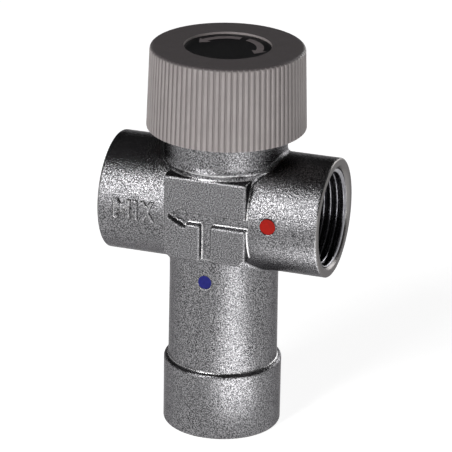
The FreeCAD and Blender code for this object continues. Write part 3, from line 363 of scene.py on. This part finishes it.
def outward(piece, smooth_angle):
    """Merge doubles, turn every face outward, and shade smooth where faces meet at less than an angle."""
    shape = bmesh.new()
    shape.from_mesh(piece.data)
    bmesh.ops.remove_doubles(shape, verts=shape.verts, dist=1e-7)
    bmesh.ops.recalc_face_normals(shape, faces=shape.faces)
    for face in shape.faces:
        face.smooth = True
    for edge in shape.edges:
        edge.smooth = len(edge.link_faces) == 2 and edge.calc_face_angle(math.pi) < smooth_angle
    shape.to_mesh(piece.data)
    shape.free()


def new_tree(name, sockets):
    """A geometry tree with named inputs, given as a socket type for each, and one output."""
    tree = bpy.data.node_groups.new(name, "GeometryNodeTree")
    for label, kind in sockets.items():
        tree.interface.new_socket(label, in_out="INPUT", socket_type="NodeSocket" + kind)
    tree.interface.new_socket("Geometry", in_out="OUTPUT", socket_type="NodeSocketGeometry")
    return tree, tree.nodes.new("NodeGroupInput").outputs


# Pipe threads in the three ports

def thread_tree():
    """Winds one ridge of thread about the Z axis: a spiral swept with the ridge's section, which fades in
    and out over the first and last fifth of a turn. The section's feet are sunk a little into the wall,
    and its width at foot and crest is a share of the pitch."""
    tree, given = new_tree("wound_thread", {
        "Root Radius": "Float", "Depth": "Float", "Pitch": "Float", "Crest Round": "Float",
        "Turns": "Float", "Steps": "Int", "Material": "Material",
    })
    height = add(tree, MATH, (given["Pitch"], given["Turns"]), operation="MULTIPLY")
    spiral = add(tree, "GeometryNodeCurveSpiral", {
        "Resolution": given["Steps"], "Rotations": given["Turns"], "Height": height,
        "Start Radius": given["Root Radius"], "End Radius": given["Root Radius"],
    })
    upright = add(tree, "GeometryNodeSetCurveNormal", {"Curve": spiral}, mode="Z_UP")
    sunk = add(tree, MATH, (given["Depth"], -0.04), operation="MULTIPLY")
    corners = {}
    for number, (inward, share) in enumerate(
            ((sunk, -0.44), (given["Depth"], -0.1), (given["Depth"], 0.1), (sunk, 0.44)), start=1):
        along = add(tree, MATH, (given["Pitch"], share), operation="MULTIPLY")
        corners[f"Point {number}"] = add(tree, "ShaderNodeCombineXYZ", (inward, along))
    sharp = add(tree, "GeometryNodeCurvePrimitiveQuadrilateral", corners, mode="POINTS")
    section = add(tree, "GeometryNodeFilletCurve", {
        "Curve": sharp, "Count": 3, "Radius": given["Crest Round"], "Limit Radius": True}, mode="POLY")
    factor = add(tree, "GeometryNodeSplineParameter", out="Factor")
    to_end = add(tree, MATH, (1.0, factor), operation="SUBTRACT")
    nearest = add(tree, MATH, (factor, to_end), operation="MINIMUM")
    turn = add(tree, MATH, (nearest, given["Turns"]), operation="MULTIPLY")
    fade = add(tree, RANGE, (turn, 0.0, 0.2, 0.05, 1.0))
    swept = add(tree, "GeometryNodeCurveToMesh",
                {"Curve": upright, "Profile Curve": section, "Scale": fade, "Fill Caps": True})
    whole = add(tree, "GeometryNodeRealizeInstances", {"Geometry": swept})
    dressed = add(tree, "GeometryNodeSetMaterial", {"Geometry": whole, "Material": given["Material"]})
    add(tree, "NodeGroupOutput", {"Geometry": dressed})
    return tree


thread = thread_tree()
side_start = Matrix.Translation((0, 0, (PORT_REACH_MM - THREAD_DEPTH_MM + 0.5) * MM))
at_axis = Matrix.Translation((0, 0, AXIS_MM * MM))
ports = {
    "hot_port_thread": at_axis @ Matrix.Rotation(math.pi / 2, 4, "Y") @ side_start,
    "mix_port_thread": at_axis @ Matrix.Rotation(-math.pi / 2, 4, "Y") @ side_start,
    "cold_port_thread": Matrix.Translation((0, 0, (MOUTH_CHAMFER_MM - 0.2) * MM)),
}
for name, where in ports.items():
    ridge = grow(name, thread, {
        "Root Radius": THREAD_ROOT_MM * MM,
        "Depth": (THREAD_ROOT_MM - THREAD_CREST_MM) * MM,
        "Pitch": THREAD_PITCH_MM * MM,
        "Crest Round": 0.35 * MM,
        "Turns": (THREAD_DEPTH_MM - MOUTH_CHAMFER_MM - THREAD_RUN_OUT_MM) / THREAD_PITCH_MM,
        "Steps": 96,
        "Material": THREAD_METAL,
    }, THREAD_METAL)
    ridge.data.transform(where)
    outward(ridge, math.radians(35))
    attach(ridge, "housing")


# Springs, which shorten and lengthen between the two bodies that they press apart; here each is one fixed
# piece

def pressed_spring(node):
    """A spring with its solid's own coils, kept as one fixed piece in place of the solid."""
    piece = mesh_piece(node + "_wire", frame["nodes"][node].data.copy(), MATERIALS["steel"])
    outward(piece, math.radians(35))
    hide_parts(node)
    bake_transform(piece)


pressed_spring("overload_spring")
pressed_spring("return_spring")


# The outlet's raised word, cast on the front of its port

def raised_word(name, letters, foot_mm, head_mm, rise_mm):
    """Letters wrapped round the port, with their feet sunk in. Each is given with its left and right edge
    in millimetres along the port."""
    word = bmesh.new()
    for letter, left_mm, right_mm in letters:
        text = bpy.data.curves.new(name, "FONT")
        text.body = letter
        text.offset = 0.02
        text.extrude = 0.02
        text.bevel_depth = 0.07
        text.bevel_resolution = 3
        maker = bpy.data.objects.new(name + "_outline", text)
        bpy.context.scene.collection.objects.link(maker)
        flat = as_mesh(maker, name + "_flat", MATERIALS["plated_brass"])
        shape = bmesh.new()
        shape.from_mesh(flat.data)
        bpy.data.objects.remove(flat)
        low = [min(v.co[i] for v in shape.verts) for i in range(3)]
        high = [max(v.co[i] for v in shape.verts) for i in range(3)]
        for cut in range(1, 12):
            level = low[1] + (high[1] - low[1]) * cut / 12
            bmesh.ops.bisect_plane(shape, geom=shape.verts[:] + shape.edges[:] + shape.faces[:],
                                   plane_co=(0, level, 0), plane_no=(0, 1, 0))
        bmesh.ops.triangulate(shape, faces=shape.faces)
        for v in shape.verts:
            across, up, out = ((v.co[i] - low[i]) / (high[i] - low[i]) for i in range(3))
            reach = PORT_RADIUS_MM + rise_mm * (2 * out - 1)
            turn = (foot_mm + (head_mm - foot_mm) * up) / PORT_RADIUS_MM
            v.co = Vector((left_mm + (right_mm - left_mm) * across, -reach * math.cos(turn),
                           AXIS_MM + reach * math.sin(turn))) * MM
        bent = bpy.data.meshes.new(name)
        shape.to_mesh(bent)
        shape.free()
        word.from_mesh(bent)
    whole = bpy.data.meshes.new(name)
    word.to_mesh(whole)
    word.free()
    piece = mesh_piece(name, whole, MATERIALS["plated_brass"])
    outward(piece, math.radians(40))
    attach(piece, "housing")


raised_word("outlet_word", (("M", -26.0, -21.0), ("I", -20.6, -19.0), ("X", -18.5, -14.4)),
            foot_mm=-1.9, head_mm=3.6, rise_mm=0.6)


# Print on the dial

def film(name, outlines, material, thickness_mm=0.03):
    """A thin film on the dial: closed outlines in millimetres, raised by the film's thickness."""
    shape = bmesh.new()
    for outline in outlines:
        foot = [shape.verts.new((x * MM, y * MM, DIAL_TOP_MM * MM)) for x, y in outline]
        base = shape.faces.new(foot)
        made = bmesh.ops.extrude_face_region(shape, geom=[base])["geom"]
        risen = [g for g in made if isinstance(g, bmesh.types.BMVert)]
        bmesh.ops.translate(shape, verts=risen, vec=(0, 0, thickness_mm * MM))
    bmesh.ops.triangulate(shape, faces=shape.faces)
    mesh = bpy.data.meshes.new(name)
    shape.to_mesh(mesh)
    shape.free()
    piece = mesh_piece(name, mesh, material)
    outward(piece, math.radians(30))
    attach(piece, "control")


def arc_arrow(radius, width, start, end, head, steps=40):
    """An arrow bent round the dial, from its start angle to its tip at the end angle, in degrees. Lengths
    are in millimetres, and its head is twice as wide as its shaft."""
    turn = 1 if end > start else -1
    neck = end - turn * math.degrees(head / radius)
    angles = [math.radians(start + (neck - start) * i / steps) for i in range(steps + 1)]
    outer = [((radius + width / 2) * math.cos(a), (radius + width / 2) * math.sin(a)) for a in angles]
    inner = [((radius - width / 2) * math.cos(a), (radius - width / 2) * math.sin(a)) for a in angles]
    last = angles[-1]
    half_head = width * 1.05
    barbs = [((radius + side * half_head) * math.cos(last), (radius + side * half_head) * math.sin(last))
             for side in (1, -1)]
    tip = (radius * math.cos(math.radians(end)), radius * math.sin(math.radians(end)))
    return outer + [barbs[0], tip, barbs[1]] + inner[::-1]


film("dial_arrows", [
    arc_arrow(radius=8.5, width=1.9, start=start, end=end, head=2.7)
    for start, end in ((85, 172), (71, -17))
], DIAL_PRINT)


# Studio: camera, floor, lamps and surroundings

def aim(obj, eye_mm, right, up, back):
    """Put a camera or lamp at a point, looking away from back."""
    obj.matrix_world = Matrix((
        (right[0], up[0], back[0], eye_mm[0] * MM),
        (right[1], up[1], back[1], eye_mm[1] * MM),
        (right[2], up[2], back[2], eye_mm[2] * MM),
        (0, 0, 0, 1),
    ))


camera_back = Vector(CAMERA_BACK).normalized()
level_right = Vector((0, 0, 1)).cross(camera_back).normalized()
level_up = camera_back.cross(level_right)
roll = math.radians(CAMERA_ROLL_DEGREES)
camera = bpy.data.objects.new("camera", bpy.data.cameras.new("camera"))
camera.data.lens = CAMERA_LENS_MM
camera.data.sensor_width = FILM_WIDTH_MM
camera.data.clip_start = 0.05
camera.data.clip_end = 60.0
bpy.context.scene.collection.objects.link(camera)
aim(camera, CAMERA_EYE_MM,
    math.cos(roll) * level_right + math.sin(roll) * level_up,
    math.cos(roll) * level_up - math.sin(roll) * level_right, camera_back)
bpy.context.scene.camera = camera


def softbox(name, azimuth, elevation, distance, width, height, radiance, tilt=None):
    """A lamp with even radiance over its face. Azimuth is to the right of the front and elevation above
    level, in degrees. Distance, width and height are in metres. It faces the valve, or with a tilt of -90
    lies flat and shines up."""
    lamp = bpy.data.lights.new(name, "AREA")
    lamp.shape = "RECTANGLE"
    lamp.size, lamp.size_y = width, height
    lamp.energy = radiance * math.pi * width * height
    a, e = math.radians(azimuth), math.radians(elevation)
    t = e if tilt is None else math.radians(tilt)
    away = Vector((math.sin(a) * math.cos(e), -math.cos(a) * math.cos(e), math.sin(e)))
    back = Vector((math.sin(a) * math.cos(t), -math.cos(a) * math.cos(t), math.sin(t)))
    right = Vector((math.cos(a), math.sin(a), 0))
    holder = bpy.data.objects.new(name, lamp)
    holder.visible_camera = False
    bpy.context.scene.collection.objects.link(holder)
    aim(holder, (away * distance / MM + Vector(LAMPS_AIM_MM)), right, back.cross(right), back)


# The upright walls mirror the floor, so the panel on it, out of the frame, draws their highlight. The
# level ports mirror the front softbox in a bright band.
softbox("low_right_softbox", 43, 4.5, distance=1.3, width=0.9, height=0.25, radiance=5.0)
softbox("floor_panel", 41, -24.1, distance=0.1446, width=0.055, height=0.2, radiance=3.2, tilt=-90)
softbox("front_softbox", -19.5, 27, distance=1.3, width=0.32, height=1.2, radiance=10.2)
softbox("rear_softbox", 158, 12, distance=1.4, width=0.8, height=0.6, radiance=4.5)
softbox("left_fill", -80, 8, distance=1.5, width=1.0, height=0.6, radiance=0.3)


def seen_directly(tree):
    """1 for rays that look straight at a surface or see it in metal or glass, and 0 for its own light."""
    path = tree.nodes.new("ShaderNodeLightPath").outputs
    seen = add(tree, MATH, (path["Is Camera Ray"], path["Is Glossy Ray"]), operation="ADD")
    return add(tree, MATH, (seen, path["Is Transmission Ray"]), operation="ADD", use_clamp=True)


def white_floor():
    """Matt white studio floor. It shows white to the eye and in reflections, and keeps the shadow."""
    material, tree, place = new_material("matt_white_studio_floor")
    paint = add(tree, "ShaderNodeBsdfDiffuse", {"Color": "#c8c8c8"})
    glow = add(tree, "ShaderNodeEmission", {
        "Color": "#ffffff", "Strength": add(tree, MATH, (seen_directly(tree), 0.84), operation="MULTIPLY")})
    add(tree, "ShaderNodeOutputMaterial", {"Surface": add(tree, "ShaderNodeAddShader", (paint, glow))})
    return material


def stage_set(name, reach, foot, head, material, sides=48):
    """A round floor with a low wall about it, so that a level camera has white behind the valve too."""
    turns = [2 * math.pi * i / sides for i in range(sides)]
    rings = [(reach * math.cos(t), reach * math.sin(t), z) for z in (foot, head) for t in turns]
    wall = [(i, sides + i, sides + (i + 1) % sides, (i + 1) % sides) for i in range(sides)]
    mesh = bpy.data.meshes.new(name)
    mesh.from_pydata(rings, [], [tuple(range(sides))] + wall)
    mesh_piece(name, mesh, material)


stage_set("floor_and_low_wall", reach=5.0, foot=-0.00002, head=0.62, material=white_floor())

world = bpy.data.worlds.new("studio_room")
bpy.context.scene.world = world
world.use_nodes = True
world.node_tree.nodes.clear()
add(world.node_tree, "ShaderNodeOutputWorld", {"Surface": add(
    world.node_tree, "ShaderNodeBackground", {"Color": "#ffffff", "Strength": 0.06})})

bpy.context.scene.view_settings.view_transform = "Standard"
